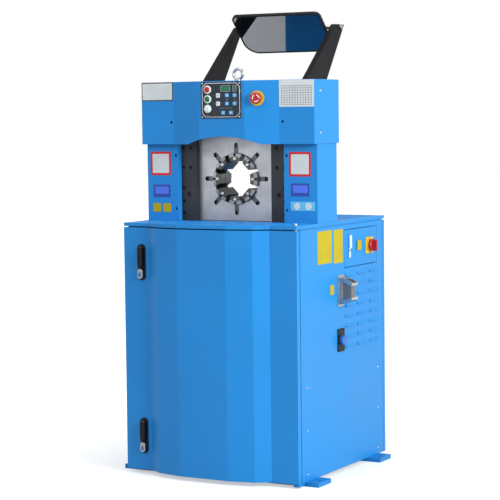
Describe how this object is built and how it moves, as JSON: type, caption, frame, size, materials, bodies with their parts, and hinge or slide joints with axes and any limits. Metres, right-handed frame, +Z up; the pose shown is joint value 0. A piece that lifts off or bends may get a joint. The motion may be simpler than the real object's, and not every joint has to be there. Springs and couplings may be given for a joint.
{
  "type": "hose crimping machine",
  "caption": "Cabinet-mounted hydraulic hose crimper: wedge-driven dies in a vertical press head, control panel, hinged service door and tilting rear-view mirror.",
  "frame": {"origin": "on the floor, at the centre of the anchor holes in the foot bars", "axes": "+Z up, front (door and control panel) towards -Y, +X to the right seen from the front"},
  "size_m": [0.923, 0.866, 1.9014],
  "materials": {
    "blue_paint": "satin powder coat",
    "blue_plastic": "matt",
    "black_paint": "satin powder coat",
    "ground_steel": "ground",
    "blackened_steel": "blackened",
    "bright_screw": "zinc plated",
    "chrome_rod": "polished",
    "grey_foil": "satin foil",
    "white_plastic": "glossy",
    "red_plastic": "glossy",
    "green_plastic": "glossy",
    "yellow_plastic": "satin",
    "black_plastic": "matt",
    "grey_metal": "die cast",
    "mirror_face": "silvered",
    "motor_grey": "painted"
  },
  "bodies": {
    "root": {"base_frame": "blue_paint", "button_bezels": "white_plastic", "cabinet_frame": "blue_paint", "connector_base": "grey_metal", "connector_hood": "grey_metal", "control_panel": "grey_foil", "cylinder_barrel": "ground_steel", "deck_plate": "blue_paint", "estop_ring": "yellow_plastic", "eye_bolt": "chrome_rod", "guide_rails": "blackened_steel", "head_cover": "blue_paint", "hinge_pins": "bright_screw", "jaw_1": "ground_steel", "left_panel": "blue_paint", "mirror_arms": "black_paint", "mirror_rod": "chrome_rod", "motor": "motor_grey", "oil_pipes": "ground_steel", "oil_tank": "motor_grey", "panel_screws": "bright_screw", "pillar_covers": "blue_paint", "press_frame": "blue_paint", "pump": "grey_metal", "rail_bolts": "blackened_steel", "rear_panel": "blue_paint", "right_panel": "blue_paint", "socket_plate": "black_plastic", "upper_yoke": "ground_steel", "valve_block": "ground_steel"},
    "lower_press": {"lower_yoke": "ground_steel", "cylinder_ram": "chrome_rod", "jaw_5": "ground_steel"},
    "slot_plates": {"face_plates": "ground_steel"},
    "door": {"front_door": "blue_paint", "latch_plates": "black_plastic", "latch_locks": "bright_screw"},
    "latch_upper": {"latch_cam_upper": "ground_steel"},
    "latch_lower": {"latch_cam_lower": "ground_steel"},
    "handle_upper": {"latch_handle_upper": "black_plastic"},
    "handle_lower": {"latch_handle_lower": "black_plastic"},
    "side_door": {"box_door": "blue_paint", "switch_plate": "yellow_plastic"},
    "side_latch": {"box_latch": "white_plastic"},
    "main_switch": {"switch_knob": "red_plastic"},
    "lever_upper": {"connector_lever_upper": "grey_metal"},
    "lever_lower": {"connector_lever_lower": "grey_metal"},
    "outlet_cap": {"socket_cap": "blue_plastic"},
    "stop_push": {"stop_button": "red_plastic"},
    "start_push": {"start_button": "green_plastic"},
    "white_push": {"white_button": "white_plastic"},
    "estop_push": {"estop_button": "red_plastic"},
    "mirror": {"mirror_housing": "black_plastic", "mirror_glass": "mirror_face"},
    "die_2": {"jaw_2": "ground_steel"},
    "die_3": {"jaw_3": "ground_steel"},
    "die_4": {"jaw_4": "ground_steel"},
    "die_6": {"jaw_6": "ground_steel"},
    "die_7": {"jaw_7": "ground_steel"},
    "die_8": {"jaw_8": "ground_steel"}
  },
  "joints": [
    {"name": "yoke_lift", "type": "slide", "parent": "root", "child": "lower_press", "axis": [0, 0, 1], "range_m": [0, 0.048]},
    {"name": "plate_rise", "type": "slide", "parent": "root", "child": "slot_plates", "axis": [0, 0, 1], "range_m": [0, 0.024]},
    {"name": "die_2_slide", "type": "slide", "parent": "root", "child": "die_2", "axis": [-0.9239, 0, 0.3827], "range_m": [0, 0.01837]},
    {"name": "die_3_slide", "type": "slide", "parent": "root", "child": "die_3", "axis": [-0.7071, 0, 0.7071], "range_m": [0, 0.03394]},
    {"name": "die_4_slide", "type": "slide", "parent": "root", "child": "die_4", "axis": [-0.3827, 0, 0.9239], "range_m": [0, 0.04435]},
    {"name": "die_6_slide", "type": "slide", "parent": "root", "child": "die_6", "axis": [0.3827, 0, 0.9239], "range_m": [0, 0.04435]},
    {"name": "die_7_slide", "type": "slide", "parent": "root", "child": "die_7", "axis": [0.7071, 0, 0.7071], "range_m": [0, 0.03394]},
    {"name": "die_8_slide", "type": "slide", "parent": "root", "child": "die_8", "axis": [0.9239, 0, 0.3827], "range_m": [0, 0.01837]},
    {"name": "door_swing", "type": "hinge", "parent": "root", "child": "door", "pos_m": [0.39, -0.389, 0.5], "axis": [0, 0, 1], "range_deg": [0, 110]},
    {"name": "latch_upper_turn", "type": "hinge", "parent": "door", "child": "latch_upper", "pos_m": [-0.3145, -0.41, 0.933], "axis": [0, 1, 0], "range_deg": [0, 90]},
    {"name": "latch_upper_lift", "type": "hinge", "parent": "latch_upper", "child": "handle_upper", "pos_m": [-0.3145, -0.417, 0.933], "axis": [-1, 0, 0], "range_deg": [0, 35]},
    {"name": "latch_lower_turn", "type": "hinge", "parent": "door", "child": "latch_lower", "pos_m": [-0.3145, -0.41, 0.217], "axis": [0, 1, 0], "range_deg": [0, 90]},
    {"name": "latch_lower_lift", "type": "hinge", "parent": "latch_lower", "child": "handle_lower", "pos_m": [-0.3145, -0.417, 0.217], "axis": [-1, 0, 0], "range_deg": [0, 35]},
    {"name": "side_door_swing", "type": "hinge", "parent": "root", "child": "side_door", "pos_m": [0.396, 0.318, 0.92], "axis": [0, 0, 1], "range_deg": [0, 100]},
    {"name": "side_latch_lift", "type": "hinge", "parent": "side_door", "child": "side_latch", "pos_m": [0.408, 0.06, 0.971], "axis": [0, -1, 0], "range_deg": [0, 35]},
    {"name": "main_switch_turn", "type": "hinge", "parent": "side_door", "child": "main_switch", "pos_m": [0.42, 0.25, 0.92], "axis": [1, 0, 0], "range_deg": [0, 90]},
    {"name": "lever_upper_flip", "type": "hinge", "parent": "root", "child": "lever_upper", "pos_m": [0.414, -0.023, 0.799], "axis": [0, -1, 0], "range_deg": [0, 75]},
    {"name": "lever_lower_flip", "type": "hinge", "parent": "root", "child": "lever_lower", "pos_m": [0.414, -0.023, 0.705], "axis": [0, 1, 0], "range_deg": [0, 75]},
    {"name": "outlet_cap_turn", "type": "hinge", "parent": "root", "child": "outlet_cap", "pos_m": [0.41, -0.025, 0.549], "axis": [1, 0, 0], "range_deg": [0, 60]},
    {"name": "stop_button_push", "type": "slide", "parent": "root", "child": "stop_push", "axis": [0, 1, 0], "range_m": [0, 0.0038], "stiffness_N_per_m": 400},
    {"name": "start_button_push", "type": "slide", "parent": "root", "child": "start_push", "axis": [0, 1, 0], "range_m": [0, 0.0038], "stiffness_N_per_m": 400},
    {"name": "white_button_push", "type": "slide", "parent": "root", "child": "white_push", "axis": [0, 1, 0], "range_m": [0, 0.0038], "stiffness_N_per_m": 400},
    {"name": "estop_push", "type": "slide", "parent": "root", "child": "estop_push", "axis": [-0.2507, 0.9681, 0], "range_m": [0, 0.006]},
    {"name": "mirror_tilt", "type": "hinge", "parent": "root", "child": "mirror", "pos_m": [0, 0.3, 1.838], "axis": [1, 0, 0], "range_deg": [-20, 20]}
  ],
  "couplings": [
    {"joint": "plate_rise", "follows": "yoke_lift", "ratio": 0.5},
    {"joint": "die_2_slide", "follows": "yoke_lift", "ratio": 0.38268},
    {"joint": "die_3_slide", "follows": "yoke_lift", "ratio": 0.70711},
    {"joint": "die_4_slide", "follows": "yoke_lift", "ratio": 0.92388},
    {"joint": "die_6_slide", "follows": "yoke_lift", "ratio": 0.92388},
    {"joint": "die_7_slide", "follows": "yoke_lift", "ratio": 0.70711},
    {"joint": "die_8_slide", "follows": "yoke_lift", "ratio": 0.38268}
  ]
}
